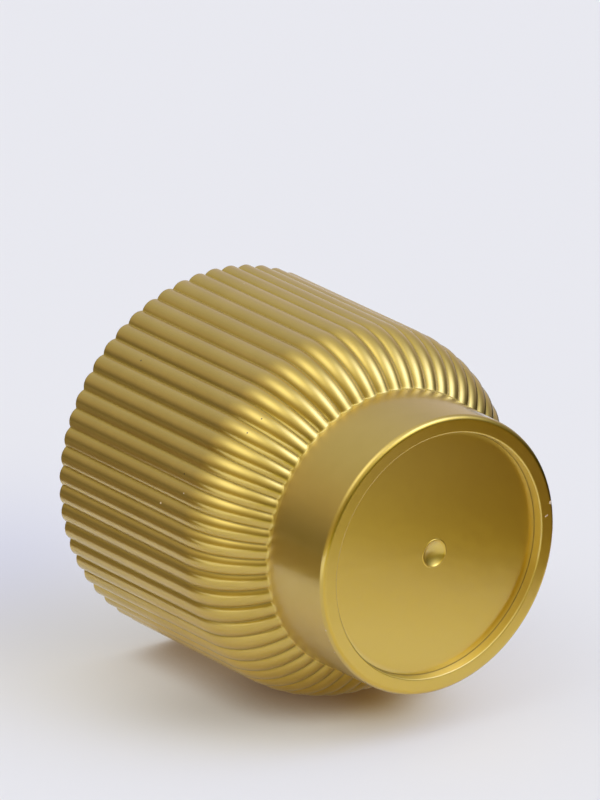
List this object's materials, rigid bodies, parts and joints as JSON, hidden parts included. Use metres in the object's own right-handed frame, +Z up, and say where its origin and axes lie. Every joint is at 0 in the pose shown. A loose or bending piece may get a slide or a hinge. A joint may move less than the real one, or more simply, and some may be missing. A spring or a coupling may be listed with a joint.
{
  "type": "plant pot",
  "caption": "Small round cover pot with a ribbed wall, rounded shoulder and smooth foot, holding a lift-out inner pot with drain holes.",
  "frame": {"origin": "middle of the flat ring that the pot stands on", "axes": "+Z up along the pot's axis, from the foot to the rim; +X through the crest of a rib"},
  "size_m": [0.095, 0.095, 0.09],
  "materials": {
    "gold_plastic": "satin metallic gold coat on moulded plastic",
    "dark_plastic": "fine matt moulded surface, charcoal"
  },
  "bodies": {
    "cover_pot": {"cover_pot": "gold_plastic"},
    "inner_pot": {"inner_pot": "dark_plastic"}
  },
  "joints": [
    {"name": "inner_pot_lift", "type": "slide", "parent": "cover_pot", "child": "inner_pot", "axis": [0, 0, 1], "range_m": [0, 0.1]}
  ]
}
